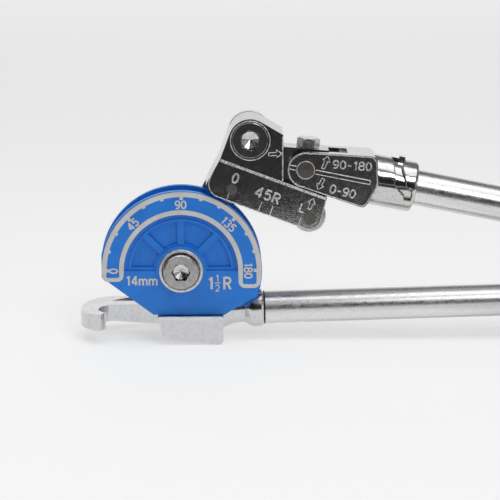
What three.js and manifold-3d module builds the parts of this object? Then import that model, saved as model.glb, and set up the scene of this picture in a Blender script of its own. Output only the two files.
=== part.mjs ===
// Two-stage manual tube bender, closed, standing on its vise lug. Millimetres, +Z up.
// X runs along the handles, Y across the tool (front face towards -Y).
// Everything is laid out from the bend axis; the last lines put the origin on the vise lug's front face.
import * as THREE from "three";
import { mergeVertices } from "three/addons/utils/BufferGeometryUtils.js";
import Module from "manifold-3d";

const wasm = await Module();
wasm.setup();

// ---- driving dimensions -------------------------------------------------------------------
const TUBE_OD = 14; // tube that the die bends
const BEND_RADIUS = 38.1; // to the tube's centre line
const GAP = 0.3; // between pieces that touch
const FIT = 0.09; // radial clearance of pins and bushes
const RIM_R = BEND_RADIUS + TUBE_OD / 2;
const FLANGE_R = RIM_R + 1; // the die's flanges reach a little past the tube
const GROOVE_R = TUBE_OD / 2 + 0.1;
const DIE_HALF = 11; // half the die's width
const APRON_T = 4.2; // gauge plate thickness
const BORE_R = 6.5; // centre bolt shank
const BOLT_HEAD_R = 10.1;
const BUSH_FLANGE_R = 12.6;

const LINK_L = 84.9; // bend axis to shoe pivot
const LINK_ANGLE = 62.45; // degrees above +X in the closed position
const LINK_Y0 = 14.4;
const LINK_Y1 = 20.4;

const SHOE_ANGLE = -20.5; // shoe's long direction
const SHOE_HALF = 14; // half the shoe's width
const WALL_Y = 7.3; // inner face of the shoe walls and clevis cheeks
const ROLLER_R = 9.6;
const ROLLER_HALF = 7;
const ROLLER_DROP = 29.7; // shoe pivot down to the roller axes
const ROLLER_PITCH = 47;
const ROLLER_PIN_R = 3.3;
const LEDGE = -15.3; // top of the shoe's lower wall, below the shoe pivot
const SHOE_BOTTOM = -36.5;
const BOSS_R = 12.2;
const PIVOT_HEAD_R = 10.6;
const PIVOT_SHANK_R = 6;

const CLEVIS_AT = [35.14, -4.78]; // clevis pin from the shoe pivot, along and square to the shoe
const HANDLE_ANGLE = -11.34;
const CLEVIS_PIN_R = 4.65;
const CHEEK_R = 10.2;
const CHEEK_HALF = 13.7;
const WEDGE = 7.5; // taper of the cheeks, degrees each side
const WEB_A = 21.8; // where the solid web between the cheeks starts
const SOCKET_R = 14.5;
const SOCKET_START = 41.7;
const SOCKET_END = 63.7;
const PLUNGER_R = 6.9;
const PLUNGER_TIP = 18.8;
const LOCK_PIN_A = 53.3;

const UPPER_TUBE_R = 10.1;
const UPPER_LENGTH = 246; // clevis pin to the end of the grip
const LOWER_TUBE_R = 9.3;
const FORM_ANGLE = 1.6;
const FORM_Z = -25.42; // form handle's axis below the bend axis, at X 0
const LOWER_START = 48.1;
const LOWER_LENGTH = 331;
const TUBE_WALL = 1.6;
const GRIP_R = 13;
const GRIP_LENGTH = 116;

const LUG_Y = 17; // vise faces of the lug
const LATCH_PIVOT = [-4, -30.3];
const LATCH_TOP = -24.3;
const LATCH_FRONT = 7.6;
const LATCH_BACK = 29.5;
const EAR_Y0 = 17.5;
const EAR_Y1 = 25.8;
const LATCH_PIN_R = 3;

// ---- materials ----------------------------------------------------------------------------
const metal = (color, roughness) => new THREE.MeshStandardMaterial({ color, roughness, metalness: 1 });
const chrome = metal(0xd8dadd, 0.12);
const satin = metal(0xc4c6c9, 0.3);
const steel = metal(0xa9a8a4, 0.35);
const bronze = metal(0x9b7440, 0.4);
const bluePaint = new THREE.MeshStandardMaterial({ color: 0x1f66b8, roughness: 0.35, metalness: 0 });
const rubber = new THREE.MeshStandardMaterial({ color: 0x1a1a1a, roughness: 0.7, metalness: 0 });
const vinyl = new THREE.MeshStandardMaterial({ color: 0x1b4f96, roughness: 0.6, metalness: 0 });

// ---- helpers ------------------------------------------------------------------------------
const rad = THREE.MathUtils.degToRad;
const polar = (r, deg, x = 0, y = 0) => [x + r * Math.cos(rad(deg)), y + r * Math.sin(rad(deg))];

// A closed, indexed geometry as a solid.
function solid(geometry) {
  const bare = geometry.index ? geometry.clone() : geometry;
  bare.deleteAttribute("normal");
  bare.deleteAttribute("uv");
  const merged = mergeVertices(bare, 1e-4);
  return new wasm.Manifold(
    new wasm.Mesh({
      numProp: 3,
      vertProperties: new Float32Array(merged.attributes.position.array),
      triVerts: new Uint32Array(merged.index.array),
    }),
  );
}

function toMesh(name, body, material) {
  const out = body.getMesh();
  const geometry = new THREE.BufferGeometry();
  geometry.setAttribute("position", new THREE.BufferAttribute(out.vertProperties, 3));
  geometry.setIndex(new THREE.BufferAttribute(out.triVerts, 1));
  geometry.computeVertexNormals();
  const mesh = new THREE.Mesh(geometry, material);
  mesh.name = name;
  return mesh;
}

// Points of an arc, from one angle to another in degrees.
function arc(cx, cy, r, from, to, steps = 12) {
  return Array.from({ length: steps + 1 }, (_, i) => polar(r, from + ((to - from) * i) / steps, cx, cy));
}

const shapeOf = (points) => new THREE.Shape(points.map(([x, y]) => new THREE.Vector2(x, y)));

// An outline in the X-Z plane, between two Y planes.
function slabXZ(points, y0, y1) {
  const geometry = new THREE.ExtrudeGeometry(shapeOf(points), { depth: y1 - y0, bevelEnabled: false });
  geometry.rotateX(Math.PI / 2);
  geometry.translate(0, y1, 0);
  return solid(geometry);
}

// An outline in the X-Y plane, between two heights.
function slabXY(points, z0, z1) {
  const geometry = new THREE.ExtrudeGeometry(shapeOf(points), { depth: z1 - z0, bevelEnabled: false });
  geometry.translate(0, 0, z0);
  return solid(geometry);
}

function box(x0, x1, y0, y1, z0, z1) {
  const geometry = new THREE.BoxGeometry(x1 - x0, y1 - y0, z1 - z0);
  geometry.translate((x0 + x1) / 2, (y0 + y1) / 2, (z0 + z1) / 2);
  return solid(geometry);
}

// A cylinder along Y; six sides make a hexagon with corners on the X axis.
function rod(r, x, z, y0, y1, sides = 40) {
  const geometry = new THREE.CylinderGeometry(r, r, y1 - y0, sides);
  if (sides === 6) geometry.rotateY(Math.PI / 2);
  geometry.translate(x, (y0 + y1) / 2, z);
  return solid(geometry);
}

// A body of revolution about X from (distance along X, radius) points that start and end on the axis.
function turnX(profile, sides = 40) {
  const points = profile.map(([x, r]) => new THREE.Vector2(r, x));
  const geometry = new THREE.LatheGeometry(points, sides);
  geometry.rotateZ(-Math.PI / 2);
  return solid(geometry);
}

const pipeX = (r, x0, x1, sides = 40) => turnX([[x0, 0], [x0, r], [x1, r], [x1, 0]], sides);

function turnY(profile, sides = 40) {
  return solid(new THREE.LatheGeometry(profile.map(([y, r]) => new THREE.Vector2(r, y)), sides));
}

// A socket-head screw along Y, head towards -Y, with a hexagonal recess and a coned floor.
function socketScrew({ x = 0, z = 0, face, headR, headT, shankR, end, hexR, hexDepth }) {
  const bevel = 0.7;
  const head = turnY([
    [face, 0], [face, headR - bevel], [face + bevel, headR], [face + headT, headR],
    [face + headT, shankR], [end - 1, shankR], [end, shankR - 1], [end, 0],
  ]);
  const recess = rod(hexR, 0, 0, face - 1, face + hexDepth, 6);
  const cone = turnY([[face + hexDepth - 0.01, 0], [face + hexDepth - 0.01, hexR * 0.85], [face + hexDepth + 1.5, 0]]);
  return head.subtract(recess).subtract(cone).translate([x, 0, z]);
}

function hexNut(across, bore, y0, y1) {
  return rod(across / Math.sqrt(3), 0, 0, y0, y1, 6).subtract(rod(bore, 0, 0, y0 - 1, y1 + 1));
}

const ring = (outer, inner, y0, y1) => rod(outer, 0, 0, y0, y1).subtract(rod(inner, 0, 0, y0 - 1, y1 + 1));

// ---- bend die -----------------------------------------------------------------------------
const RECESS_R = 32.3;
const POCKET_R = 28.4;
const HUB_R = 14.4;

// Outline of the gauge plate below the die's horizontal centre line.
const APRON = [
  [-RIM_R + 0.1, 2], [-RIM_R + 0.1, -3.8], [-15.8, -25.6], [24.6, -25.6],
  [43.3, -14.9], [43.7, -11.6], [RIM_R - 0.1, -9.1], [RIM_R - 0.1, 2],
];

// The grooved wheel: front flange, tube groove, back flange.
function grooveWheel() {
  const groove = arc(0, BEND_RADIUS, GROOVE_R, 0, -180, 12);
  const profile = [
    [-DIE_HALF, 0], [-DIE_HALF, FLANGE_R - 0.4], [-DIE_HALF + 0.4, FLANGE_R],
    [-GROOVE_R, FLANGE_R],
    ...groove.map(([y, r]) => [y, r]).reverse(),
    [GROOVE_R, FLANGE_R], [DIE_HALF - 0.4, FLANGE_R], [DIE_HALF, FLANGE_R - 0.4], [DIE_HALF, 0],
  ];
  return turnY(profile, 88);
}

// A ring sector in the X-Z plane with its straight sides offset from the spokes by half a rib.
function pocket(from, to, inner, outer) {
  const halfRib = 1.9;
  const pull = (r) => THREE.MathUtils.radToDeg(halfRib / r);
  const points = [
    ...arc(0, 0, outer, from + pull(outer), to - pull(outer), 10),
    ...arc(0, 0, inner, to - pull(inner), from + pull(inner), 6),
  ];
  return slabXZ(points, -DIE_HALF - 1, -DIE_HALF + 3);
}

function bendDie() {
  const apron = slabXZ(APRON, -DIE_HALF, -DIE_HALF + APRON_T);
  const keep = [[-RIM_R, 60], [-RIM_R, -3], [-RIM_R + 0.1, -3.8], [-34.7, -11.5], [60, -11.5], [60, 60]];
  let die = grooveWheel().intersect(slabXZ(keep, -12, 12)).add(apron);
  die = die.add(rod(HUB_R, 0, 0, -DIE_HALF - 0.6, -DIE_HALF + APRON_T, 64));
  const recess = slabXZ(
    [...arc(0, 0, RECESS_R, 0, 180, 40), ...arc(0, 0, HUB_R, 180, 0, 24)],
    -DIE_HALF - 1, -DIE_HALF + 1.2,
  );
  die = die.subtract(recess);
  const line = slabXZ([...arc(0, 0, 31, 2, 178, 32), ...arc(0, 0, 30, 178, 2, 32)], -DIE_HALF - 1, -DIE_HALF + 1.8);
  die = die.subtract(line);
  for (const start of [0, 45, 90, 135]) die = die.subtract(pocket(start, start + 45, HUB_R + 1.2, POCKET_R));
  die = die.subtract(rod(BUSH_FLANGE_R + FIT, 0, 0, -20, -6.9, 64));
  die = die.subtract(rod(9 + FIT, 0, 0, -20, 20));
  for (const x of [-20, 20]) die = die.subtract(rod(2.5 + FIT, x, 5, 4, 20, 24));
  return die;
}

// ---- pivot hardware at the bend axis ---------------------------------------------------------
const pivotBush = () =>
  turnY([
    [-12, BOLT_HEAD_R + 0.65], [-12.2, BOLT_HEAD_R + 1], [-12.2, BUSH_FLANGE_R - 0.4], [-11.8, BUSH_FLANGE_R],
    [-7.1, BUSH_FLANGE_R], [-7.1, 9], [DIE_HALF - 0.2, 9], [DIE_HALF - 0.2, BORE_R + FIT],
    [-8.9, BORE_R + FIT], [-8.9, BOLT_HEAD_R + 0.65], [-12, BOLT_HEAD_R + 0.65],
  ], 48);

const pivotBolt = () =>
  socketScrew({ face: -16, headR: BOLT_HEAD_R, headT: 6.8, shankR: BORE_R, end: 32.5, hexR: 5.4, hexDepth: 4.5 });

// ---- form handle -------------------------------------------------------------------------------
const LUG = [[-13.3, -25.95], [24, -25.95], [24, -39.9], [22.4, -41.6], [20.6, -41.65], [-8.2, -38.7], [-10.6, -36.6]];

// Casting behind and under the die: back plate, spine, vise lug, latch ear, neck, collar and shank.
function formHead() {
  const back = slabXZ(arc(0, 0, 23, 0, 345, 46), DIE_HALF + GAP, LINK_Y0 - GAP).add(
    box(4, 24, DIE_HALF + GAP, LINK_Y0 - GAP, -30, 0),
  );
  const spineFront = slabXZ([[-10.5, -11.9], [34, -11.9], [34, -30], [20, -36], [-9, -34]], -6.5, LATCH_FRONT - GAP);
  const spineBack = slabXZ([[4, -11.9], [34, -11.9], [34, -30], [20, -36], [4, -36]], LATCH_FRONT - 1, LINK_Y0 - GAP);
  const lugFront = slabXZ(LUG, -LUG_Y, LATCH_FRONT - GAP);
  const lugBack = slabXZ([[4, -25.95], ...LUG.slice(1, 5), [4, -40]], 0, LUG_Y);
  const earRoot = box(4, 17, LINK_Y0 - 1, EAR_Y1, -36, -22);
  const ear = slabXZ(
    [[6, -24.8], [LATCH_PIVOT[0], -24.8], ...arc(...LATCH_PIVOT, 5.5, 90, 270, 14), [6, -35.8]],
    EAR_Y0, EAR_Y1,
  );
  let head = back.add(spineFront).add(spineBack).add(lugFront).add(lugBack).add(earRoot).add(ear);
  const neckAxis = (piece) => piece.rotate([0, -FORM_ANGLE, 0]).translate([0, 0, FORM_Z]);
  const neck = turnX([
    [18, 0], [18, 11.8], [24, 10.8], [28.5, 9.2], [33, 8.1], [36.3, 8.3], [38.4, 9.6],
    [39.6, 10.4], [41.5, 10.9], [46, 10.75], [47, 10.1], [47, 6.2], [49.4, 6.2], [49.6, 7.4], [92, 7.4], [94, 5.5], [94, 0],
  ]);
  const trim = box(28, 40, -9, 20, -60, 30).subtract(neckAxis(pipeX(11.5, 20, 60)));
  head = head.subtract(trim).add(neckAxis(neck));
  const apronSpace = slabXZ(APRON.map(([x, z]) => [x * 1.01, z * 1.012]), -20, -DIE_HALF + APRON_T + GAP);
  head = head.subtract(apronSpace.intersect(box(-60, 60, -20, 0, -25.94, 20)));
  head = head.subtract(rod(BORE_R + FIT, 0, 0, 0, 40));
  head = head.subtract(rod(LATCH_PIN_R + FIT, ...LATCH_PIVOT, EAR_Y0 - 1, EAR_Y1 + 1));
  for (const x of [-20, 20]) head = head.subtract(rod(2.5 + FIT, x, 5, 0, 40, 24));
  return head;
}

// Handle tube with two stake marks on its underside.
function formTube() {
  const outer = pipeX(LOWER_TUBE_R, LOWER_START, LOWER_LENGTH - 3);
  let tube = outer.subtract(pipeX(LOWER_TUBE_R - TUBE_WALL, LOWER_START - 1, LOWER_LENGTH));
  for (const x of [55.5, 68.5]) tube = tube.subtract(rod(5, x, -LOWER_TUBE_R - 5 + 1.1, -12, 12, 32));
  return tube;
}

// Vinyl grip, closed at the far end.
function grip(tubeR, from, to) {
  const outer = turnX([
    [from, 0], [from, GRIP_R - 1.4], [from + 1.5, GRIP_R], [to - 5, GRIP_R], [to - 1.5, GRIP_R - 2], [to, GRIP_R - 5.5], [to, 0],
  ]);
  return outer.subtract(pipeX(tubeR + FIT, from - 1, to - 2.6));
}

// ---- latch -------------------------------------------------------------------------------------
// Hook in plan: a forked arm beside the tube, an outer bow and a short tip in front of it.
function latch() {
  const right = 6;
  const outerRear = Array.from({ length: 13 }, (_, i) => {
    const t = rad(90 + (i * 90) / 12);
    return [-38 + 19.8 * Math.cos(t), LATCH_BACK * Math.sin(t)];
  });
  const outerFront = Array.from({ length: 11 }, (_, i) => {
    const t = rad(180 + (i * 84) / 10);
    return [-44.2 + 13.6 * Math.cos(t), 16.6 * Math.sin(t)];
  });
  const plan = slabXY(
    [
      [right, LATCH_BACK], ...outerRear, ...outerFront.slice(1), [-43.9, -11.4],
      ...arc(-37.6, -2.4, 10, 238, 90, 18), [right, LATCH_FRONT],
    ],
    -50, 0,
  );
  const slot = slabXY([[right + 5, 17.2], [right + 5, 26.1], [-28, 26.1], [-33, 24.6], [-38, 20.6], [-41, 17.2]], -51, 1);
  const [px, pz] = LATCH_PIVOT;
  const side = slabXZ(
    [[-60, LATCH_TOP], [-60, -33.2], [-40, -33.8], ...arc(px, pz, 6, 265, 450, 18)],
    -30, 40,
  );
  return plan.subtract(slot).intersect(side).subtract(rod(LATCH_PIN_R + FIT, px, pz, 0, 40));
}

const latchPin = () =>
  turnY([[7.8, 0], [7.8, LATCH_PIN_R], [29.8, LATCH_PIN_R], [29.8, 4.6], [31, 4], [31, 0]])
    .translate([LATCH_PIVOT[0], 0, LATCH_PIVOT[1]]);

// ---- link --------------------------------------------------------------------------------------
// Built along +X from the bend axis.
function linkPlate() {
  const top = arc(LINK_L, 0, 12.4, -90, 90, 24);
  const foot = arc(0, 0, 14.6, 90, 270, 24);
  const waist = 9.6;
  const plate = slabXZ([...top, [LINK_L - 20, waist], [22, waist], ...foot, [22, -waist], [LINK_L - 20, -waist]], LINK_Y0, LINK_Y1);
  return plate
    .subtract(rod(9.05 + FIT, 0, 0, 0, 40))
    .subtract(rod(PIVOT_SHANK_R + FIT, LINK_L, 0, 0, 40));
}

// ---- shoe --------------------------------------------------------------------------------------
// Origin at the shoe pivot, X along the shoe, Z away from the die.

function shoeBlock() {
  const boss = arc(0, 0, BOSS_R, 180, 80.6, 16);
  return slabXZ([[-12.2, LEDGE - 3], ...boss, [16.3, 9.5], [26.6, LEDGE - 3]], -SHOE_HALF + 0.7, SHOE_HALF);
}

// One lower wall; only the front one has its leading corner rounded.
function shoeWall(y0, y1, rounded) {
  const corner = [[-11.5, SHOE_BOTTOM], [-14.1, -34], [-14, -28.5]];
  const lead = rounded ? arc(-6, -28.5, 8, 270, 180, 10) : corner;
  const tail = arc(ROLLER_PITCH, -30, 6.5, 0, -90, 10);
  return slabXZ([[-12.2, LEDGE], [52, LEDGE], [53.3, -27], ...tail, ...lead], y0, y1);
}

// Round tongue that the clevis straddles, with a tab for the lock and a flat for the keeper screw.
function tongue() {
  const turn = rad(HANDLE_ANGLE - SHOE_ANGLE);
  const [cx, cz] = CLEVIS_AT;
  const place = ([a, b]) => [cx + a * Math.cos(turn) - b * Math.sin(turn), cz + a * Math.sin(turn) + b * Math.cos(turn)];
  const outline = [
    [-16, 9.4], [-13.1, 9.7], [11, 12.3], [14.3, 9.6], [14.3, 6.7], [17.4, 6.4],
    [17.4, -6.4], [14.3, -6.7], [14.3, -14.5], [-9, -11.5], [-20, -6],
  ];
  return slabXZ(outline.map(place), -7, 7);
}

function shoe() {
  let body = shoeBlock().add(shoeWall(-SHOE_HALF, -WALL_Y, true)).add(shoeWall(-WALL_Y - 0.5, SHOE_HALF, false));
  body = body.add(tongue());
  for (const s of [0, ROLLER_PITCH]) {
    body = body.subtract(rod(ROLLER_R + 0.8, s, -ROLLER_DROP, -WALL_Y, WALL_Y, 40));
    body = body.subtract(rod(ROLLER_PIN_R + FIT, s, -ROLLER_DROP, -20, 20, 32));
  }
  body = body.subtract(box(-20, 70, -WALL_Y, WALL_Y, -50, -33.5));
  body = body.subtract(box(ROLLER_PITCH, 70, -WALL_Y, WALL_Y, -50, -ROLLER_DROP + 8));
  body = body.subtract(rod(PIVOT_HEAD_R + 0.3, 0, 0, -20, -5, 64));
  body = body.subtract(rod(7.7 + FIT, 0, 0, -20, 20));
  body = body.subtract(rod(CLEVIS_PIN_R + FIT, ...CLEVIS_AT, -20, 20));
  return body.subtract(keeperHole());
}

// The keeper screw stands square to the tongue's flat.
const KEEPER_LEAN = rad(-4.9 - SHOE_ANGLE);
const KEEPER_FOOT = [32.94, 6.15];
const keeperPlace = (piece) =>
  piece.rotate([0, THREE.MathUtils.radToDeg(-KEEPER_LEAN), 0]).translate([KEEPER_FOOT[0], 0, KEEPER_FOOT[1]]);

function uprightTurn(profile, sides) {
  const geometry = new THREE.LatheGeometry(profile.map(([z, r]) => new THREE.Vector2(r, z)), sides);
  geometry.rotateX(Math.PI / 2);
  return solid(geometry);
}

const keeperHole = () => keeperPlace(uprightTurn([[-4.6, 0], [-4.6, 3.15], [9, 3.15], [9, 0]], 24));

function keeperScrew() {
  const head = new THREE.CylinderGeometry(6.6, 6.6, 5.2, 6);
  head.rotateX(Math.PI / 2);
  head.rotateZ(Math.PI / 2);
  head.translate(0, 0, 2.75);
  const chamfer = uprightTurn([[0, 0], [0, 9], [4.7, 6.6], [5.5, 5.4], [5.5, 0]], 48);
  const shank = uprightTurn([[-4.2, 0], [-4.2, 3], [1, 3], [1, 0]], 24);
  return keeperPlace(solid(head).intersect(chamfer).add(shank));
}

const pivotScrew = () =>
  socketScrew({
    face: -SHOE_HALF + 0.9, headR: PIVOT_HEAD_R, headT: 7.6, shankR: PIVOT_SHANK_R, end: 28.5, hexR: 5.95, hexDepth: 4.2,
  });

const shoeBush = () => ring(7.7, PIVOT_SHANK_R + FIT, -4.8, SHOE_HALF);

// Roller with a shallow waist that seats on the tube.
const roller = () =>
  turnY([
    [-ROLLER_HALF, ROLLER_PIN_R + FIT], [-ROLLER_HALF, ROLLER_R - 0.5], [-ROLLER_HALF + 0.5, ROLLER_R],
    [-3, ROLLER_R - 0.5], [0, ROLLER_R - 0.7], [3, ROLLER_R - 0.5],
    [ROLLER_HALF - 0.5, ROLLER_R], [ROLLER_HALF, ROLLER_R - 0.5], [ROLLER_HALF, ROLLER_PIN_R + FIT],
    [-ROLLER_HALF, ROLLER_PIN_R + FIT],
  ], 40);

const rollerPin = () => rod(ROLLER_PIN_R, 0, 0, -SHOE_HALF + 0.2, SHOE_HALF - 0.2, 24);

// ---- clevis ------------------------------------------------------------------------------------
// Origin at the clevis pin, X along the handle.
function clevisOutline(inset) {
  const r = CHEEK_R - inset;
  const edge = (a) => r / Math.cos(rad(WEDGE)) + a * Math.tan(rad(WEDGE));
  const upper = 36.6 - inset;
  return [
    ...arc(0, 0, r, 90 + WEDGE, 270 - WEDGE, 24),
    [upper - 2, -edge(upper - 2)], [upper, 0.6 - edge(upper)], [38.2 - inset, -12.2 + inset], [41.5 - inset, -2],
    [41.5 - inset, 1], [38.9 - inset, 12.4 - inset], [upper + 0.6, edge(upper) - 0.8], [upper - 1.4, edge(upper - 1.4)],
  ];
}

// J-shaped slot for the lock pin, cut by narrow wedges stepped round the socket.
function lockSlot() {
  const ease = THREE.MathUtils.smoothstep;
  let cut = box(47.5, 55.2, -1.95, 1.95, 5, 20); // deep only where the pin passes
  for (let turn = -8; turn <= 112; turn += 6) {
    const left = 47.5 + 3.1 * ease(turn, 0, 85) + 7 * ease(turn, 80, 112);
    const right = 55.2 - 1.2 * ease(turn, 8, 30) + 3.3 * ease(turn, 30, 85) + 4.4 * ease(turn, 80, 98);
    cut = cut.add(box(left, right, -1.05, 1.05, 12.6, 20).rotate([turn, 0, 0]));
  }
  return cut;
}

function clevis() {
  let body = slabXZ(clevisOutline(0), -CHEEK_HALF, CHEEK_HALF);
  const shoulder = pipeX(SOCKET_R, 36.5, SOCKET_START, 48).intersect(box(30, 50, -CHEEK_HALF, CHEEK_HALF, -20, 20));
  const socket = turnX([
    [SOCKET_START - 0.1, 0], [SOCKET_START - 0.1, SOCKET_R], [SOCKET_END - 2, SOCKET_R],
    [SOCKET_END - 0.6, SOCKET_R - 0.6], [SOCKET_END, SOCKET_R - 2], [SOCKET_END, 8.3], [82, 8.3], [83, 7.4], [83, 0],
  ], 48);
  body = body.add(shoulder).add(socket);
  // open fork ahead of the web
  const fork = box(-20, WEB_A, -WALL_Y, WALL_Y, -30, 30);
  body = body.subtract(fork);
  // recessed cheek panels, with the pin boss and the centre rib left standing
  for (const side of [-1, 1]) {
    const y0 = side < 0 ? -CHEEK_HALF - 1 : CHEEK_HALF - 0.5;
    let panel = slabXZ(clevisOutline(1.3), y0, y0 + 1.5);
    panel = panel.subtract(rod(5.7, 0, 0, -20, 20));
    panel = panel.subtract(box(-12, 37, -20, 20, -1.1, 1.1));
    body = body.subtract(panel);
  }
  // plunger bore, its shoulder and the tube's counterbore
  body = body.subtract(pipeX(PLUNGER_R + FIT, WEB_A - 1, 100));
  body = body.subtract(box(WEB_A - 1, 31, -WALL_Y, WALL_Y, -10, 10));
  const tubeSeat = pipeX(UPPER_TUBE_R + FIT, 59.6, 100).subtract(pipeX(8.3, 50, 110));
  body = body.subtract(tubeSeat).subtract(lockSlot());
  return body.subtract(rod(CLEVIS_PIN_R + FIT, 0, 0, -20, 20));
}

const clevisPin = () =>
  turnY([
    [-CHEEK_HALF + 0.1, 0], [-CHEEK_HALF + 0.1, CLEVIS_PIN_R - 0.3], [-CHEEK_HALF + 0.4, CLEVIS_PIN_R],
    [CHEEK_HALF - 0.4, CLEVIS_PIN_R], [CHEEK_HALF - 0.1, CLEVIS_PIN_R - 0.3], [CHEEK_HALF - 0.1, 0],
  ]);

// Lock plunger: forked nose that straddles the tongue's tab or the keeper screw, and a round body.
function lockPlunger() {
  const mouth = box(PLUNGER_TIP - 1, PLUNGER_TIP + 4.4, -9, 9, -7.9, 7.9);
  const nose = box(PLUNGER_TIP, 27, -6.8, 6.8, -9.6, 9.6).subtract(mouth);
  const body = pipeX(PLUNGER_R, 26, 57.5);
  const springSeat = pipeX(4.2, 57.5 - 9, 60);
  return nose.add(body).subtract(springSeat).subtract(box(LOCK_PIN_A - 1.95, LOCK_PIN_A + 1.95, -1.95, 1.95, 1, 20));
}

// Radial pin that drives the plunger from outside the socket.
const lockPin = () => box(LOCK_PIN_A - 1.75, LOCK_PIN_A + 1.75, -1.75, 1.75, 4.6, SOCKET_R + 1.9);

// Compression spring as a coil of square wire.
function lockSpring() {
  const coils = 6;
  const perTurn = 12;
  const [x0, x1] = [59, 80];
  const coilR = 4.9;
  class Helix extends THREE.Curve {
    getPoint(t, target = new THREE.Vector3()) {
      const turn = t * coils * 2 * Math.PI;
      return target.set(x0 + (x1 - x0) * t, coilR * Math.cos(turn), coilR * Math.sin(turn));
    }
  }
  const wire = shapeOf(arc(0, 0, 0.75, 0, 270, 3));
  return solid(new THREE.ExtrudeGeometry(wire, { steps: coils * perTurn, extrudePath: new Helix(), bevelEnabled: false }));
}

function springStop() {
  return pipeX(PLUNGER_R, 80.9, 85, 32).subtract(pipeX(2, 70, 90, 16));
}

const handleTube = () =>
  pipeX(UPPER_TUBE_R, 59.9, UPPER_LENGTH - 3).subtract(pipeX(8.45, 50, UPPER_LENGTH));

// ---- assembly ------------------------------------------------------------------------------------
const tool = new THREE.Group();

function frameAt(parent, x, z, deg) {
  const group = new THREE.Group();
  group.position.set(x, 0, z);
  group.rotation.y = rad(-deg);
  parent.add(group);
  return group;
}

tool.add(
  toMesh("bend_die", bendDie(), bluePaint),
  toMesh("pivot_bush", pivotBush(), satin),
  toMesh("pivot_bolt", pivotBolt(), steel),
  toMesh("pivot_washer", ring(11.5, BORE_R + FIT, LINK_Y1 + GAP, LINK_Y1 + 2.3), satin),
  toMesh("pivot_nut", hexNut(19, BORE_R + FIT, LINK_Y1 + 2.6, 31), satin),
  toMesh("form_handle_head", formHead(), chrome),
  toMesh("latch", latch(), chrome),
  toMesh("latch_pin", latchPin(), steel),
);
for (const [name, x] of [["die_dowel_left", -20], ["die_dowel_right", 20]]) {
  tool.add(toMesh(name, rod(2.5, x, 5, 4.4, LINK_Y0 - GAP, 24), steel));
}

const formHandle = frameAt(tool, 0, FORM_Z, FORM_ANGLE);
formHandle.add(
  toMesh("form_handle_tube", formTube(), chrome),
  toMesh("form_handle_seal", pipeX(9.6, 47.25, 47.9).subtract(pipeX(6.4, 40, 50)), rubber),
  toMesh("form_handle_grip", grip(LOWER_TUBE_R, LOWER_LENGTH - GRIP_LENGTH, LOWER_LENGTH), vinyl),
);

const link = frameAt(tool, 0, 0, LINK_ANGLE);
link.add(
  toMesh("link_plate", linkPlate(), chrome),
  toMesh("link_bush", ring(9.05, BORE_R + FIT, LINK_Y0, LINK_Y1), bronze),
);

const [pivotX, pivotZ] = polar(LINK_L, LINK_ANGLE);
const shoeFrame = frameAt(tool, pivotX, pivotZ, SHOE_ANGLE);
shoeFrame.add(
  toMesh("shoe_pivot_bolt", pivotScrew(), chrome),
  toMesh("shoe_pivot_nut", hexNut(17, PIVOT_SHANK_R + FIT, LINK_Y1 + GAP, LINK_Y1 + 6.8), satin),
  toMesh("shoe", shoe(), chrome),
  toMesh("shoe_bush", shoeBush(), bronze),
  toMesh("keeper_screw", keeperScrew(), chrome),
);
for (const [place, s] of [["lead", 0], ["support", ROLLER_PITCH]]) {
  const axle = frameAt(shoeFrame, s, -ROLLER_DROP, 0);
  axle.add(toMesh(`${place}_roller`, roller(), satin), toMesh(`${place}_roller_pin`, rollerPin(), steel));
}

const handle = frameAt(shoeFrame, ...CLEVIS_AT, HANDLE_ANGLE - SHOE_ANGLE);
handle.add(
  toMesh("clevis", clevis(), chrome),
  toMesh("clevis_pin", clevisPin(), steel),
  toMesh("lock_plunger", lockPlunger(), bronze),
  toMesh("lock_pin", lockPin(), steel),
  toMesh("lock_spring", lockSpring(), steel),
  toMesh("spring_stop", springStop(), steel),
  toMesh("shoe_handle_tube", handleTube(), chrome),
  toMesh("shoe_handle_grip", grip(UPPER_TUBE_R, UPPER_LENGTH - GRIP_LENGTH, UPPER_LENGTH), vinyl),
);

// Origin on the front face of the vise lug.
const VISE_FACE = { x: 6, y: -LUG_Y, z: -33 };
tool.position.set(-VISE_FACE.x, -VISE_FACE.y, -VISE_FACE.z);

export default tool;
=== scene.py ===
import math

import bpy
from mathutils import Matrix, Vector


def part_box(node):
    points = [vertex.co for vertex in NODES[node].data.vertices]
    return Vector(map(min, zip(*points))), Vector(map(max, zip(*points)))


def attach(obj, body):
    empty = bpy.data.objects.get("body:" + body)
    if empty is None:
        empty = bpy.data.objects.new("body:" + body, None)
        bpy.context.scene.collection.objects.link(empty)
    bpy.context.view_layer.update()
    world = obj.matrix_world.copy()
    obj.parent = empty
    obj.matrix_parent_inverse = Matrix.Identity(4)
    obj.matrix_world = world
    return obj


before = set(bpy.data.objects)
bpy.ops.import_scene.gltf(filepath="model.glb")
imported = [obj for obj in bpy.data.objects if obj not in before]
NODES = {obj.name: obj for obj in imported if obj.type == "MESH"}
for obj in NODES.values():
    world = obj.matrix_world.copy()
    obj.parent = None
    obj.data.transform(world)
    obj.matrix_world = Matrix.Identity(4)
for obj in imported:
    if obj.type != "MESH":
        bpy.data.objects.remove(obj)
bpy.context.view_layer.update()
MM = 0.001

# ---- where things are ---------------------------------------------------------------------


def centre(node):
    low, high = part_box(node)
    return (low + high) / 2


MID_Y = centre("lead_roller").y


class Spot:
    """A flat frame in the tool's side view: millimetres along a and b, and y from the middle plane."""

    def __init__(self, node, angle):
        here = centre(node)
        self.x, self.z, self.angle = here.x, here.z, angle

    def at(self, a, b, y):
        turn = math.radians(self.angle)
        x = a * math.cos(turn) - b * math.sin(turn)
        z = a * math.sin(turn) + b * math.cos(turn)
        return Vector((self.x + x * MM, MID_Y + y * MM, self.z + z * MM))


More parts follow.
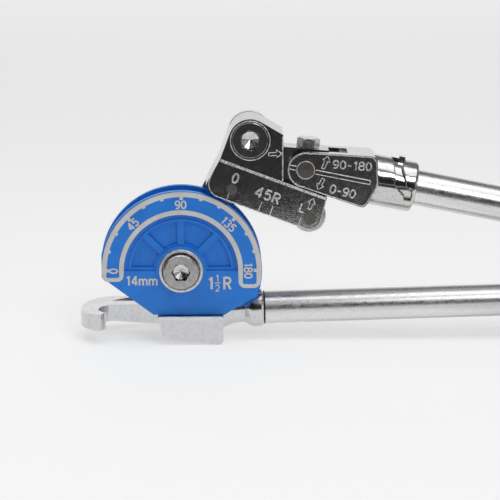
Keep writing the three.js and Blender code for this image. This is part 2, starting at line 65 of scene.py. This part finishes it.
DIE = Spot("pivot_bolt", 0)
SHOE = Spot("shoe_pivot_nut", -20.5)
HANDLE = Spot("clevis_pin", -11.34)

# y of the faces that carry marks, in millimetres from the middle plane
DIE_FACE = -11.06
SHOE_FACE = -14.0
BLOCK_FACE = -13.3
CLEVIS_FACE = -13.2
LUG_FACE = (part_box("form_handle_head")[0].y - MID_Y) / MM

# b of the ledge where the shoe's rough lower wall begins, and a where the clevis's turned socket begins
LEDGE_B = -16.2
SOCKET_A = 41.5


# ---- materials ----------------------------------------------------------------------------


def ramp(tree, value, places):
    """Colour ramp with a colour, or a plain number, at each place."""
    node = tree.nodes.new("ShaderNodeValToRGB")
    points = node.color_ramp.elements
    points.remove(points[1])
    points[0].position = places[0][0]
    for place, _ in places[1:]:
        points.new(place)
    for point, (_, colour) in zip(points, places):
        point.color = (*colour, 1) if isinstance(colour, tuple) else (colour, colour, colour, 1)
    tree.links.new(value, node.inputs["Fac"])
    return node.outputs["Color"]


class Look:
    """One procedural material, built up step by step."""

    def __init__(self, name, color, metallic, roughness):
        self.material = bpy.data.materials.new(name)
        self.material.use_nodes = True
        self.tree = self.material.node_tree
        self.shader = self.tree.nodes["Principled BSDF"]
        self.shader.inputs["Base Color"].default_value = (*color, 1)
        self.shader.inputs["Metallic"].default_value = metallic
        self.shader.inputs["Roughness"].default_value = roughness
        self.place = self.tree.nodes.new("ShaderNodeTexCoord").outputs["Object"]
        self.height = None

    def noise(self, scale, detail=3, stretch=(1, 1, 1), turn=0):
        mapping = self.tree.nodes.new("ShaderNodeMapping")
        mapping.vector_type = "TEXTURE"
        mapping.inputs["Rotation"].default_value = (0, math.radians(-turn), 0)
        mapping.inputs["Scale"].default_value = stretch
        noise = self.tree.nodes.new("ShaderNodeTexNoise")
        noise.inputs["Scale"].default_value = scale
        noise.inputs["Detail"].default_value = detail
        self.tree.links.new(self.place, mapping.inputs["Vector"])
        self.tree.links.new(mapping.outputs["Vector"], noise.inputs["Vector"])
        return noise.outputs["Fac"]

    def vary(self, socket, value, low, high, start=0.3, end=0.7):
        """Blends a socket from low to high, which are colours or plain numbers."""
        blend = ramp(self.tree, value, [(start, low), (end, high)])
        self.tree.links.new(blend, self.shader.inputs[socket])

    def nearer_than(self, direction, limit):
        """1 on the near side of a plane and 0 past it, with a short soft step."""
        dot = self.tree.nodes.new("ShaderNodeVectorMath")
        dot.operation = "DOT_PRODUCT"
        dot.inputs[1].default_value = direction
        step = self.tree.nodes.new("ShaderNodeMapRange")
        step.inputs["From Min"].default_value = limit - MM
        step.inputs["From Max"].default_value = limit + MM
        step.inputs["To Min"].default_value = 1
        step.inputs["To Max"].default_value = 0
        self.tree.links.new(self.place, dot.inputs[0])
        self.tree.links.new(dot.outputs["Value"], step.inputs["Value"])
        return step.outputs["Result"]

    def times(self, value, factor):
        multiply = self.tree.nodes.new("ShaderNodeMath")
        multiply.operation = "MULTIPLY"
        multiply.inputs[1].default_value = factor
        self.tree.links.new(value, multiply.inputs[0])
        return multiply.outputs["Value"]

    def bump(self, value, strength, depth_mm, where=None):
        bump = self.tree.nodes.new("ShaderNodeBump")
        bump.inputs["Strength"].default_value = strength
        if where:
            self.tree.links.new(self.times(where, strength), bump.inputs["Strength"])
        bump.inputs["Distance"].default_value = depth_mm * MM
        self.tree.links.new(value, bump.inputs["Height"])
        if self.height:
            self.tree.links.new(self.height, bump.inputs["Normal"])
        self.height = bump.outputs["Normal"]
        self.tree.links.new(self.height, self.shader.inputs["Normal"])


def cast_chrome(name, grain, depth, dull, bright, rough=(0.06, 0.15), where=None, coarse=None):
    """Plated casting: bright, with the fine pits and soft waves of the sand under the plate.

    where is a plane that keeps the grain on its near side, and coarse is one that adds a deeper grain there.
    """
    look = Look(name, (0.8, 0.8, 0.81), 1, 0.2)
    darker = (dull, dull, dull * 1.02)
    lighter = (bright, bright, bright * 1.01)
    look.vary("Base Color", look.noise(grain * 0.5, 5), darker, lighter, 0.34, 0.5)
    look.vary("Roughness", look.noise(grain * 0.3, 4), *rough)
    cast = look.nearer_than(*where) if where else None
    look.bump(look.noise(grain, 4), 0.3, depth, cast)
    look.bump(look.noise(grain * 0.16, 2), 0.07, depth * 3, cast)
    if coarse:
        look.bump(look.noise(grain * 0.8, 3), 0.34, depth * 1.3, look.nearer_than(*coarse))
    return look.material


def worn_mark(name):
    """Raised casting marks, where the plate is scuffed brighter and rougher; the same bright chrome also
    draws the painted highlights along lit edges.
    """
    look = Look(name, (0.9, 0.9, 0.9), 1, 0.5)
    look.vary("Base Color", look.noise(1300, 3), 0.34, 0.98, 0.36, 0.54)
    look.vary("Roughness", look.noise(900, 3), 0.38, 0.62)
    look.bump(look.noise(1400, 3), 0.4, 0.12)
    return look.material


def plated_tube(name, turn, rough):
    """Drawn tube under thin plate, with long soft streaks."""
    look = Look(name, (0.8, 0.8, 0.82), 1, 0.24)
    streaks = look.noise(60, 5, (14, 0.5, 0.5), turn)
    look.vary("Base Color", streaks, (0.475, 0.475, 0.4845), (0.76, 0.76, 0.7695), 0.36, 0.6)
    look.vary("Roughness", look.noise(650, 5, (2, 1, 1), turn), *rough)
    look.bump(look.noise(1000, 3, (1.6, 1, 1), turn), 0.3, 0.03)
    return look.material


def turned_steel(name, color, roughness):
    """Bare or thinly plated steel, faintly mottled."""
    look = Look(name, color, 1, roughness)
    dark = tuple(0.72 * c for c in color)
    look.vary("Base Color", look.noise(420, 4), dark, color)
    look.vary("Roughness", look.noise(800, 3), roughness * 0.8, roughness * 1.3)
    look.bump(look.noise(1600, 2), 0.15, 0.02)
    return look.material


def satin_paint(name, color, roughness):
    """Paint, print or rubber, faintly mottled."""
    look = Look(name, color, 0, roughness)
    deep = tuple(0.86 * c for c in color)
    look.vary("Base Color", look.noise(120, 4), deep, color)
    look.vary("Roughness", look.noise(500, 3), roughness * 0.85, roughness * 1.2)
    look.bump(look.noise(900, 3), 0.25, 0.04)
    return look.material


BLUE = satin_paint("blue_paint", (0.006, 0.215, 0.79), 0.36)
INK = satin_paint("white_print", (0.70, 0.69, 0.66), 0.5)
VINYL = satin_paint("blue_vinyl", (0.02, 0.13, 0.42), 0.55)
SHOE_UP = (-math.sin(math.radians(SHOE.angle)), 0, math.cos(math.radians(SHOE.angle)))
WALL_TOP = Vector(SHOE_UP).dot(SHOE.at(0, LEDGE_B, 0))
CAST = cast_chrome("cast_chrome", 1400, 0.09, 0.44, 0.54, coarse=(SHOE_UP, WALL_TOP))
HANDLE_WAY = (math.cos(math.radians(HANDLE.angle)), 0, math.sin(math.radians(HANDLE.angle)))
SOCKET_FROM = Vector(HANDLE_WAY).dot(HANDLE.at(SOCKET_A, 0, 0))
CAST_TO_TURNED = cast_chrome(
    "cast_and_turned", 1500, 0.09, 0.52, 0.62, (0.08, 0.17), where=(HANDLE_WAY, SOCKET_FROM)
)
SOFT = cast_chrome("soft_chrome", 800, 0.05, 0.60, 0.66, (0.14, 0.26))
SMOOTH = cast_chrome("smooth_chrome", 900, 0.015, 0.60, 0.72, (0.06, 0.12))
RUBBER = satin_paint("black_rubber", (0.01, 0.01, 0.01), 0.7)
MARK = worn_mark("mark_chrome")
TUBE_LOW = plated_tube("tube_low", 1.6, (0.24, 0.4))
TUBE_HIGH = plated_tube("tube_high", -11.3, (0.2, 0.34))
SATIN = turned_steel("satin_steel", (0.72, 0.72, 0.73), 0.24)
BUSH = turned_steel("bush_steel", (0.9, 0.9, 0.9), 0.42)
HEAD = turned_steel("screw_steel", (0.53, 0.52, 0.505), 0.3)
PIN = turned_steel("pin_steel", (0.24, 0.22, 0.20), 0.36)
STRAW = turned_steel("straw_steel", (0.42, 0.33, 0.22), 0.4)
BRONZE = turned_steel("bronze", (0.60, 0.42, 0.20), 0.35)

LOOKS = {
    "bend_die": BLUE,
    "pivot_bush": BUSH,
    "pivot_bolt": HEAD,
    "pivot_washer": SATIN,
    "pivot_nut": SATIN,
    "form_handle_head": SOFT,
    "form_handle_seal": RUBBER,
    "die_dowel_left": PIN,
    "die_dowel_right": PIN,
    "latch": SOFT,
    "latch_pin": PIN,
    "form_handle_tube": TUBE_LOW,
    "form_handle_grip": VINYL,
    "link_plate": SMOOTH,
    "link_bush": BRONZE,
    "shoe_pivot_bolt": SMOOTH,
    "shoe_pivot_nut": SATIN,
    "shoe": CAST,
    "shoe_bush": BRONZE,
    "keeper_screw": SATIN,
    "lead_roller": SATIN,
    "support_roller": SATIN,
    "lead_roller_pin": PIN,
    "support_roller_pin": PIN,
    "clevis": CAST_TO_TURNED,
    "clevis_pin": PIN,
    "lock_plunger": SATIN,
    "lock_pin": SMOOTH,
    "lock_spring": PIN,
    "spring_stop": PIN,
    "shoe_handle_tube": TUBE_HIGH,
    "shoe_handle_grip": VINYL,
}
EDGE_ANGLE = math.radians(28)
WELD_GAP = 2e-6
FINE_EDGE_MM = 0.25

# width of the softened edges of the larger pieces; the others have fine ones
EDGE_MM = {
    "form_handle_head": 0.8, "latch": 1.1, "shoe": 0.7, "clevis": 0.55, "bend_die": 0.4, "link_plate": 0.8,
}


def dress_nodes():
    """Gives every CAD node its material, soft edges and smooth shading."""
    for name, node in NODES.items():
        node.data.materials.clear()
        node.data.materials.append(LOOKS[name])
        for face in node.data.polygons:
            face.use_smooth = True
        weld = node.modifiers.new("weld", "WELD")
        weld.merge_threshold = WELD_GAP
        bevel = node.modifiers.new("edges", "BEVEL")
        bevel.width = EDGE_MM.get(name, FINE_EDGE_MM) * MM
        bevel.segments = 3
        bevel.limit_method = "ANGLE"
        bevel.angle_limit = EDGE_ANGLE
        bevel.harden_normals = False
        normals = node.modifiers.new("normals", "WEIGHTED_NORMAL")
        normals.keep_sharp = False


# ---- marks --------------------------------------------------------------------------------

# thickness of printed marks, raised lines and raised characters, and the bevel of the raised ones
PRINT_MM = 0.12
RAISED_MM = 0.55
EMBOSS_MM = 0.6
MARK_EDGE_MM = 0.12


def add(name, data, material):
    piece = bpy.data.objects.new(name, data)
    bpy.context.scene.collection.objects.link(piece)
    piece.data.materials.append(material)
    return piece


def strip(verts, faces, spot, points, widths, y):
    """Adds one flat strip along (a, b) points to a growing mesh, facing the front."""
    first = len(verts)
    for i, point in enumerate(points):
        before, after = Vector(points[max(i - 1, 0)]), Vector(points[min(i + 1, len(points) - 1)])
        along = (after - before).normalized()
        side = Vector((-along.y, along.x)) * widths[i] / 2
        for sign in (1, -1):
            verts.append(spot.at(point[0] + sign * side.x, point[1] + sign * side.y, y))
    for i in range(first, first + 2 * len(points) - 2, 2):
        faces.append((i, i + 1, i + 3, i + 2))


def mark(name, verts, faces, thick, body, material):
    """A flat mesh given a little thickness, with softened edges where it stands proud."""
    mesh = bpy.data.meshes.new(name)
    mesh.from_pydata(verts, [], faces)
    piece = add(name, mesh, material)
    solid = piece.modifiers.new("thick", "SOLIDIFY")
    solid.thickness = thick * MM
    solid.offset = 0
    if thick > PRINT_MM:
        bevel = piece.modifiers.new("edges", "BEVEL")
        bevel.width = MARK_EDGE_MM * MM
        bevel.segments = 2
    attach(piece, body)


def ribbon(name, spot, points, widths, y, body, material, slot, thick=PRINT_MM):
    """A flat mark along points, with a width at each."""
    verts, faces = [], []
    strip(verts, faces, spot, points, widths, y)
    mark(name, verts, faces, thick, body, material)


def stroke(name, spot, points, width, y, body, material, slot):
    """A printed line of one width."""
    ribbon(name, spot, points, [width] * len(points), y, body, material, slot)


def oval(x, y, across, tall, start, end, steps=14):
    """Points on an ellipse, from one angle to another in degrees."""
    turns = [math.radians(start + (end - start) * i / steps) for i in range(steps + 1)]
    return [(x + across * math.cos(t), y + tall * math.sin(t)) for t in turns]


# Plain lettering: each character is a list of pen strokes in a box one unit tall, then its width.
GLYPHS = {
    "0": ([oval(0.28, 0.5, 0.26, 0.45, 0, 360, 24)], 0.56),
    "1": ([[(0.06, 0.76), (0.26, 0.93)], [(0.26, 1.0), (0.26, 0)]], 0.38),
    "2": ([oval(0.28, 0.68, 0.25, 0.27, 165, -40), [(0.45, 0.48), (0.05, 0.06)],
           [(0, 0.05), (0.56, 0.05)]], 0.56),
    "3": ([oval(0.27, 0.73, 0.23, 0.22, 150, -90), oval(0.27, 0.28, 0.26, 0.23, 90, -150)], 0.56),
    "4": ([[(0.42, 0), (0.42, 1)], [(0.42, 0.96), (0.02, 0.32)], [(0, 0.27), (0.58, 0.27)]], 0.58),
    "5": ([[(0.54, 0.94), (0.08, 0.94)], [(0.12, 0.96), (0.07, 0.5)],
           oval(0.27, 0.33, 0.26, 0.28, 142, -150)], 0.56),
    "8": ([oval(0.28, 0.74, 0.23, 0.21, 0, 360, 18), oval(0.28, 0.27, 0.27, 0.25, 0, 360, 18)], 0.56),
    "9": ([oval(0.28, 0.68, 0.26, 0.27, 0, 360, 18),
           [(0.54, 0.68), (0.53, 0.42), (0.45, 0.18), (0.3, 0.06), (0.06, 0.05)]], 0.56),
    "m": ([[(0.05, 0), (0.05, 0.7)], oval(0.24, 0.42, 0.19, 0.23, 160, 0, 8) + [(0.43, 0)],
           oval(0.62, 0.42, 0.19, 0.23, 160, 0, 8) + [(0.81, 0)]], 0.86),
    "R": ([[(0.06, 0), (0.06, 1)], [(0.06, 0.94), (0.3, 0.94)] + oval(0.3, 0.71, 0.24, 0.23, 80, -80, 8)
           + [(0.3, 0.48), (0.06, 0.48)], [(0.3, 0.48), (0.56, 0)]], 0.6),
    "L": ([[(0.06, 0), (0.06, 1)], [(0.06, 0.06), (0.62, 0.06)]], 0.62),
    "-": ([[(0.06, 0.42), (0.4, 0.42)]], 0.46),
}
LETTER_GAP = 0.17
LIFT_MM = 0.008  # each stroke of a label stands this much proud of the one before, so that no face is shared


def label(name, text, spot, a, b, y, height, tilt, body, material, slot, pen=0.15, thick=PRINT_MM, wide=1.0):
    """Lettering centred at (a, b), tilted in degrees from level; pen is the stroke's share of the height."""
    verts, faces = [], []
    gap = LETTER_GAP * wide
    x = -(sum(GLYPHS[c][1] * wide + gap for c in text) - gap) / 2
    turn = math.radians(tilt - spot.angle)
    cos, sin = math.cos(turn), math.sin(turn)
    lift = 0
    for char in text:
        strokes, width = GLYPHS[char]
        for points in strokes:
            line = []
            for u, v in points:
                right, up = (x + u * wide) * height, (v - 0.5) * height
                line.append((a + right * cos - up * sin, b + right * sin + up * cos))
            strip(verts, faces, spot, line, [pen * height] * len(line), y - lift)
            lift += LIFT_MM
        x += width * wide + gap
    mark(name, verts, faces, thick, body, material)


def arc_points(radius, start, end, steps):
    return oval(0, 0, radius, radius, start, end, steps)


# the degree scale: radius of its two bands and its digits, centre of the outer band, and widths
OUTER_R, INNER_R = 44.0, 33.9
OUTER_AT = (0.4, 0.2)
OUTER_W, INNER_W, FOOT_W = 2.8, 2.7, 2.25
DIGITS_R = 38.3


def from_outer(radius, degrees):
    """A point at a radius from the outer band's own centre."""
    turn = math.radians(degrees)
    return (OUTER_AT[0] + radius * math.cos(turn), OUTER_AT[1] + radius * math.sin(turn))


def scale_band():
    """The closed band round the degree scale: outer arc, left foot, inner arc, right foot."""
    parts = [
        ([from_outer(OUTER_R, d) for d in range(90, 181, 3)], OUTER_W),
        (oval(-41.7, -3.2, 1.9, 1.9, 180, 270, 6), FOOT_W),
        (oval(-36.2, -2.8, 2.3, 2.3, 270, 360, 6), FOOT_W),
        (oval(0, 0, INNER_R, INNER_R, 180, 0, 60), INNER_W),
        (oval(36.4, -6.5, 2.5, 2.5, 180, 270, 6), FOOT_W),
        (oval(41.4, -6.3, 2.7, 2.7, 270, 360, 6), FOOT_W),
        ([from_outer(OUTER_R, d) for d in range(-3, 91, 3)], OUTER_W),
    ]
    points = [point for part, _ in parts for point in part]
    widths = [width for part, width in parts for _ in part]
    return points, widths


def print_scale():
    """White degree scale on the gauge plate."""
    spec = ("form_side", INK, "blue_paint")
    points, widths = scale_band()
    ribbon("scale_band", DIE, points, widths, DIE_FACE, *spec)
    inner_edge = OUTER_R - OUTER_W / 2
    for degrees in range(0, 181, 15):
        length = 1.7 if degrees % 45 == 0 else 0.9
        ends = [from_outer(r, 180 - degrees) for r in (inner_edge + 0.4, inner_edge - length)]
        stroke(f"scale_tick_{degrees}", DIE, ends, 1.9, DIE_FACE - LIFT_MM, *spec)
    for degrees in range(0, 181, 45):
        turn = math.radians(180 - degrees)
        a, b = DIGITS_R * math.cos(turn), DIGITS_R * math.sin(turn)
        label(f"scale_{degrees}", str(degrees), DIE, a, b, DIE_FACE, 4.7, 90 - degrees, *spec, pen=0.19)


def print_sizes():
    """Tube size on the left of the hub, bend radius on the right."""
    spec = ("form_side", INK, "blue_paint")
    label("size_tube", "14mm", DIE, -22.3, -5.6, DIE_FACE, 5.5, 0, *spec, pen=0.18)
    label("size_whole", "1", DIE, 16.9, -7.2, DIE_FACE, 7.2, 0, *spec, pen=0.18)
    label("size_over", "1", DIE, 20.6, -4.3, DIE_FACE, 4.0, 0, *spec)
    stroke("size_bar", DIE, [(19.0, -7.1), (22.4, -7.1)], 0.6, DIE_FACE, *spec)
    label("size_under", "2", DIE, 20.7, -10.1, DIE_FACE, 4.0, 0, *spec)
    label("size_radius", "R", DIE, 26.3, -7.2, DIE_FACE, 7.2, 0, *spec, pen=0.17)


def emboss(name, text, spot, a, b, y, height, tilt, body, wide=1.0):
    """Raised lettering in worn chrome."""
    label(name, text, spot, a, b, y, height, tilt, body, MARK, "chrome", 0.17, EMBOSS_MM, wide)


def raised(name, spot, points, width, y, body):
    """A raised line in the scuffed bright mark chrome, for real raised marks and for painted highlights
    along lit edges.
    """
    ribbon(name, spot, points, [width] * len(points), y, body, MARK, "chrome", RAISED_MM)


# length and half width of an arrow's head, half width of its shaft, and width of its outline
ARROW_HEAD, ARROW_WING, ARROW_SHAFT, ARROW_PEN = 3.0, 2.2, 0.85, 0.5


def arrow(name, spot, tail, tip, y, body):
    """Outline arrow from tail to tip."""
    tail, tip = Vector(tail), Vector(tip)
    along = (tip - tail).normalized()
    side = Vector((-along.y, along.x))
    wing, shaft = side * ARROW_WING, side * ARROW_SHAFT
    neck = tip - along * ARROW_HEAD
    half = [tail + shaft, neck + shaft, neck + wing]
    other = [neck - wing, neck - shaft, tail - shaft]
    outline = [tuple(p) for p in (*half, tip, *other)]
    for i, start in enumerate(outline):
        end = outline[(i + 1) % len(outline)]
        raised(f"{name}_{i}", spot, [start, end], ARROW_PEN, y, body)


def mark_shoe():
    y, body = SHOE_FACE, "shoe_body"
    ticks = (
        ("zero", -0.7, -31.9, -35.3), ("mid", 18.3, -30.4, -35.9),
        ("near", 25.1, -30.4, -35.9), ("last", 42.3, -30.8, -35.7),
    )
    for name, a, top, foot in ticks:
        raised(f"shoe_tick_{name}", SHOE, [(a, top), (a, foot)], 0.6, y, body)
    # Painted highlight: a bright line drawn along the lit front edge of the shoe's toe and heel.
    toe = oval(-6, -28.5, 7.7, 7.7, 180, 270, 10)
    heel = oval(47, -30, 6.2, 6.2, 270, 360, 10)
    raised("shoe_edge_highlight", SHOE, [(-13.3, -22), *toe, *heel, (53.0, -27), (51.9, -17)], 0.42, y, body)
    emboss("shoe_zero", "0", SHOE, -0.35, -22.8, y, 5.8, SHOE.angle, body)
    emboss("shoe_forty_five", "45R", SHOE, 20.2, -25.5, y, 6.0, SHOE.angle, body, 1.15)
    emboss("shoe_left", "L", SHOE, 41.2, -25.8, y, 5.0, SHOE.angle, body)
    arrow("shoe_up", SHOE, (44.9, -24.9), (44.9, -18.3), y, body)
    # The ledge is real, but the brightness of this raised band is painted highlight, standing in for the
    # light on the ledge's top.
    raised("shoe_ledge_highlight", SHOE, [(-11.8, LEDGE_B), (51.6, LEDGE_B)], 1.5, y + 0.1, body)
    arrow("block_right", SHOE, (12.4, -3.6), (19.3, -0.6), BLOCK_FACE, body)
    # Painted highlight: a bright line along the lit right edge of the block.
    raised("block_edge_highlight", SHOE, [(16.4, 8.4), (25.2, -15.2)], 0.7, BLOCK_FACE, body)
    # Painted highlight: a bright ring along the lit rim round the shoe bolt.
    raised("bolt_ring_highlight", SHOE, arc_points(11.1, 0, 360, 64), 0.55, BLOCK_FACE, body)


def mark_clevis():
    y, body = CLEVIS_FACE, "handle_body"
    arrow("clevis_up", HANDLE, (9.3, 2.6), (10.9, 10.2), y, body)
    arrow("clevis_down", HANDLE, (10.8, -3.0), (8.9, -9.6), y, body)
    # Painted highlights: bright lines along the two lit edges of the clevis's rib, its left stub and its
    # end.
    for name, b in (("over", 1.1), ("under", -1.1)):
        raised(f"clevis_rib_{name}", HANDLE, [(5.6, b), (37.0, b)], 0.45, y - 0.4, body)
        raised(f"clevis_stub_{name}", HANDLE, [(-9.2, b), (-5.4, b)], 0.45, y - 0.4, body)
    raised("clevis_rib_end", HANDLE, [(37.0, 1.1), (37.0, -1.1)], 0.45, y - 0.4, body)
    # Painted highlight: a bright arc along the lit outline of the clevis's round end.
    raised("clevis_rim_highlight", HANDLE, arc_points(9.7, 82, 278, 40), 0.7, y - 0.45, body)
    # Painted highlight: a bright line along the lit top, right end and bottom edges of the clevis.
    edge = [
        (1.3, 9.9), (34.65, 14.29), (36.65, 13.68), (38.35, 11.85), (40.95, 1),
        (40.95, -2), (37.65, -11.65), (36.05, -13.88), (34.05, -14.22), (1.3, -9.9),
    ]
    raised("clevis_edge_highlight", HANDLE, edge, 0.5, y - 0.45, body)
    # Painted highlight: a bright ring along the lit edge of the clevis pin's hole.
    raised("pin_ring_highlight", HANDLE, arc_points(5.0, 0, 360, 40), 0.5, y - 0.4, body)
    emboss("clevis_upper", "90-180", HANDLE, 25.2, 7.6, y, 4.8, -4.0, body, 1.15)
    emboss("clevis_lower", "0-90", HANDLE, 23.0, -8.0, y, 5.0, -14.0, body, 1.1)


def mark_head():
    """Painted highlight: a bright strip along the front of the vise lug's top, standing in for the light on
    that edge and covering the die's blue reflection there.
    """
    low, high = (-26.7, LUG_FACE - 0.05), (-25.75, LUG_FACE + 1.1)
    left, right = -12.7, 23.7
    verts = [DIE.at(left, *low), DIE.at(right, *low), DIE.at(right, *high), DIE.at(left, *high)]
    mark("lug_edge_highlight", verts, [(0, 1, 2, 3)], PRINT_MM, "form_side", BUSH)


DISH_SIDES = 12


def dish_socket(name, spot, radius, rim_y, floor_y, body, material):
    """Faceted dish at the bottom of a hex socket."""
    rim = arc_points(radius, 0, 345, DISH_SIDES - 1)
    verts = [spot.at(0, 0, floor_y)] + [spot.at(a, b, rim_y) for a, b in rim]
    faces = [(0, 1 + i, 1 + (i + 1) % DISH_SIDES) for i in range(DISH_SIDES)]
    mark(name, verts, faces, PRINT_MM, body, material)


def dish_sockets():
    dish_socket("shoe_socket_floor", SHOE, 5.0, -11.6, -9.2, "shoe_body", SATIN)
    dish_socket("die_socket_floor", DIE, 4.5, -13.9, -11.9, "form_side", SATIN)


def ease(value, low, high):
    """Goes smoothly from 0 at low to 1 at high."""
    t = min(max((value - low) / (high - low), 0), 1)
    return t * t * (3 - 2 * t)


# radius of the clevis's socket, and of the round lip drawn on it
SOCKET_R, LIP_R = 14.5, 0.3


def line_slot():
    """Unplated, straw-coloured lip round the lock's hooked slot.

    Each side is a row of points: how far along the handle, and how many degrees round it.
    """
    turns = range(-6, 115, 4)
    left = [(47.5 + 3.1 * ease(t, 0, 85) + 7 * ease(t, 80, 112), t) for t in turns]
    right = [
        (55.2 - 1.2 * ease(t, 8, 30) + 3.3 * ease(t, 30, 85) + 4.4 * ease(t, 80, 98), t) for t in turns
    ]
    data = bpy.data.curves.new("slot_lip", "CURVE")
    data.dimensions = "3D"
    data.bevel_depth = LIP_R * MM
    data.resolution_u = 1
    path = left + right[::-1]
    spline = data.splines.new("POLY")
    spline.points.add(len(path) - 1)
    for point, (a, t) in zip(spline.points, path):
        turn = math.radians(t)
        point.co = (*HANDLE.at(a, SOCKET_R * math.cos(turn), -SOCKET_R * math.sin(turn)), 1)
    piece = add("slot_lip", data, STRAW)
    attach(piece, "handle_body")


# ---- studio -------------------------------------------------------------------------------

CAMERA_OFFSET = Vector((17.1, -1277.6, 295.2)) * MM
CAMERA_AZIMUTH = math.radians(-1.0)
CAMERA_ELEVATION = math.radians(12.6)
LENS = 164.7

ROOM_SHADE = (0.84, 0.84, 0.83)
NEAR_SHADE = (0.02, 0.02, 0.022)
BAND_SHADE = 0.25
BAND_PLACES = [(0.0, 1.0), (0.22, 1.0), (0.4, BAND_SHADE), (0.88, BAND_SHADE), (0.96, 1.0), (1.0, 1.0)]
BRIGHT_WAY = (0.65, 1, 0.9)  # the room is brightest this way
BRIGHT_SHIFT = 0.45  # more of it makes more of the room bright
FLOOR_SHADE = (0.66, 0.66, 0.66)
FLOOR_GLOW = 0.42
TABLE_END_SHADE = (0.015, 0.015, 0.016)

# name, place, aim, size (all in metres) and power in watts
LIGHTS = [
    ("top_light", (0.05, -0.2, 1.1), (0.05, 0, 0), (1.6, 0.8), 4.6),
    ("far_light", (0.1, 2.2, 0.9), (0.1, 1.9, 0), (3.0, 1.2), 6.5),
    ("left_light", (-1.0, -0.5, 0.9), (0, 0, 0.02), (0.5, 0.5), 1.4),
    ("front_light", (0.7, -1.5, 1.3), (0.05, 0, 0), (0.8, 0.6), 7.2),
]


def place_camera():
    data = bpy.data.cameras.new("camera")
    data.sensor_width = 36
    data.lens = LENS
    camera = bpy.data.objects.new("camera", data)
    bpy.context.scene.collection.objects.link(camera)
    camera.location = DIE.at(0, 0, 0) + CAMERA_OFFSET
    level = math.cos(CAMERA_ELEVATION)
    across, away = -math.sin(CAMERA_AZIMUTH) * level, math.cos(CAMERA_AZIMUTH) * level
    forward = Vector((across, away, -math.sin(CAMERA_ELEVATION)))
    camera.rotation_euler = forward.to_track_quat("-Z", "Y").to_euler()
    bpy.context.scene.camera = camera


def card(name, low, high, z, shade, seen=True):
    """A level sheet of plain material, part of the studio; one that isn't seen shows only in reflections."""
    corners = [(low[0], low[1], z), (high[0], low[1], z), (high[0], high[1], z), (low[0], high[1], z)]
    mesh = bpy.data.meshes.new(name)
    mesh.from_pydata(corners, [], [(0, 1, 2, 3)])
    piece = add(name, mesh, Look(name, shade, 0, 0.8).material)
    piece.visible_camera = piece.visible_shadow = piece.visible_diffuse = seen
    return piece


def softbox(name, place, aim, size, power):
    data = bpy.data.lights.new(name, "AREA")
    data.shape = "RECTANGLE"
    data.size, data.size_y = size
    data.energy = power
    light = bpy.data.objects.new(name, data)
    bpy.context.scene.collection.objects.link(light)
    light.location = place
    light.rotation_euler = (Vector(aim) - Vector(place)).to_track_quat("-Z", "Y").to_euler()


def build_world():
    """A pale room, dark on the near side and half way up, so that plated tubes get dark bands."""
    world = bpy.data.worlds.new("studio")
    world.use_nodes = True
    tree = world.node_tree
    way = tree.nodes.new("ShaderNodeTexCoord").outputs["Generated"]
    lean = tree.nodes.new("ShaderNodeVectorMath")
    lean.operation = "DOT_PRODUCT"
    lean.inputs[1].default_value = BRIGHT_WAY
    shift = tree.nodes.new("ShaderNodeMath")
    shift.inputs[1].default_value = BRIGHT_SHIFT
    height = tree.nodes.new("ShaderNodeSeparateXYZ")
    tree.links.new(way, lean.inputs[0])
    tree.links.new(lean.outputs["Value"], shift.inputs[0])
    tree.links.new(way, height.inputs[0])
    room = ramp(tree, shift.outputs["Value"], [(0.05, NEAR_SHADE), (0.7, ROOM_SHADE)])
    band = ramp(tree, height.outputs["Z"], BAND_PLACES)
    product = tree.nodes.new("ShaderNodeVectorMath")
    product.operation = "MULTIPLY"
    tree.links.new(room, product.inputs[0])
    tree.links.new(band, product.inputs[1])
    tree.links.new(product.outputs["Vector"], tree.nodes["Background"].inputs["Color"])
    bpy.context.scene.world = world


def build_studio():
    floor_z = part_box("form_handle_head")[0].z
    floor = card("floor", (-4, -3), (4, 5), floor_z - 0.4 * MM, FLOOR_SHADE)
    glow = floor.data.materials[0].node_tree.nodes["Principled BSDF"]
    glow.inputs["Emission Color"].default_value = (1, 1, 1, 1)
    glow.inputs["Emission Strength"].default_value = FLOOR_GLOW
    card("dark_table_end", (-1.2, -1.6), (1.4, -0.29), floor_z + MM, TABLE_END_SHADE, seen=False)
    for name, place, aim, size, power in LIGHTS:
        softbox(name, place, aim, size, power)
    build_world()
    bpy.context.scene.view_settings.view_transform = "Standard"


dress_nodes()
print_scale()
print_sizes()
mark_shoe()
mark_clevis()
mark_head()
line_slot()
dish_sockets()
place_camera()
build_studio()
